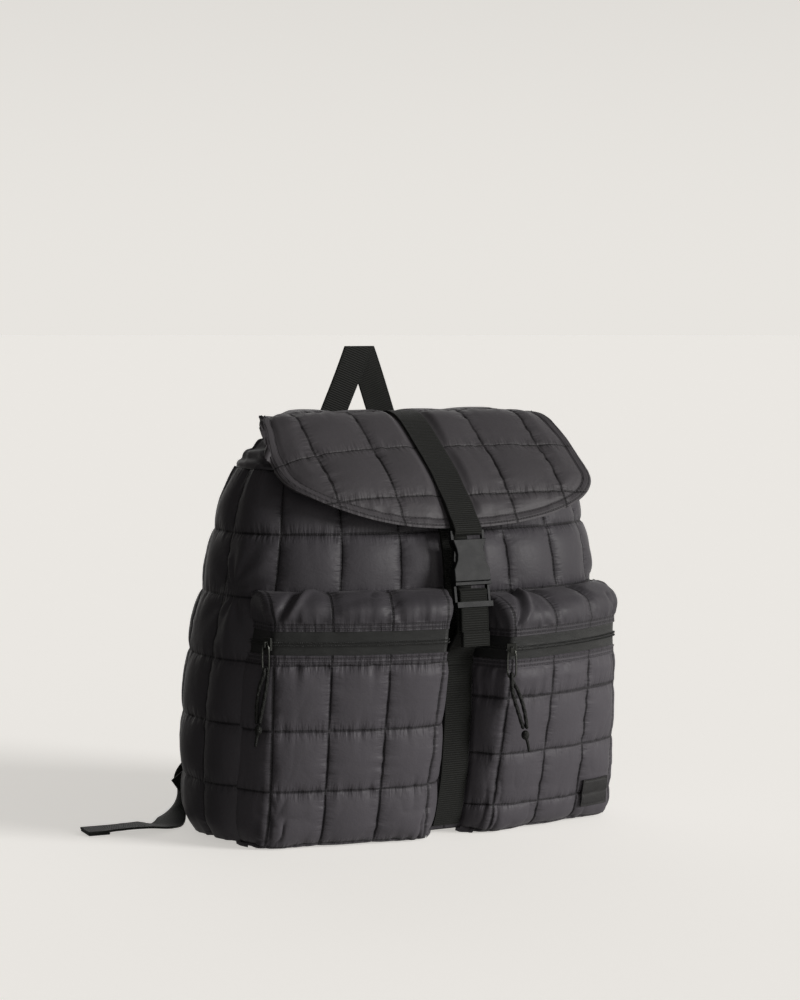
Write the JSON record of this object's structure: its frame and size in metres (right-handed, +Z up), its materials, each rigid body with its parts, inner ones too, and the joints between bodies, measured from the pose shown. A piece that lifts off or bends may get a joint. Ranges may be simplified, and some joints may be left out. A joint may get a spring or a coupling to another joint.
{
  "type": "quilted puffer backpack",
  "caption": "Soft quilted rucksack with a webbing-and-buckle flap lid, gathered neck, zipped front pockets with cord pulls, grab handle and padded shoulder straps.",
  "frame": {"origin": "middle of the flat underside of the base panel, on the floor that the bag stands on", "axes": "+Z up to the lid, -Y out of the front with the pockets and the buckle, +Y to the back panel and shoulder straps, +X to the wearer's left, which is the right side as seen from the front"},
  "size_m": [0.4528, 0.2698, 0.398],
  "materials": {
    "shell_nylon": "quilted charcoal nylon with a soft sheen",
    "panel_fabric": "matte black woven nylon over padding",
    "webbing": "ribbed black webbing",
    "zip_tape": "coated dark green-grey zip tape",
    "buckle_plastic": "satin blue-grey acetal",
    "dark_metal": "dark lacquered zinc",
    "cord": "braided dark cord"
  },
  "bodies": {
    "root": {"back_panel": "panel_fabric", "base_panel": "panel_fabric", "body_wrap": "shell_nylon", "buckle_plug": "buckle_plastic", "buckle_socket": "buckle_plastic", "buckle_tail_strap": "webbing", "centre_strap": "webbing", "grab_handle": "webbing", "label_patch": "webbing", "left_lower_strap": "webbing", "left_pocket_front": "shell_nylon", "left_pocket_top": "shell_nylon", "left_pull_cord": "cord", "left_pull_knot": "cord", "left_shoulder_pad": "panel_fabric", "left_slider": "dark_metal", "left_strap_adjuster": "buckle_plastic", "left_strap_anchor": "panel_fabric", "left_wire_pull": "dark_metal", "left_zip_coil": "zip_tape", "left_zip_tape": "zip_tape", "lid": "shell_nylon", "lid_strap": "webbing", "neck_collar": "shell_nylon", "right_lower_strap": "webbing", "right_pocket_front": "shell_nylon", "right_pocket_top": "shell_nylon", "right_pull_cord": "cord", "right_pull_knot": "cord", "right_shoulder_pad": "panel_fabric", "right_slider": "dark_metal", "right_strap_adjuster": "buckle_plastic", "right_strap_anchor": "panel_fabric", "right_wire_pull": "dark_metal", "right_zip_coil": "zip_tape", "right_zip_tape": "zip_tape"}
  },
  "joints": []
}
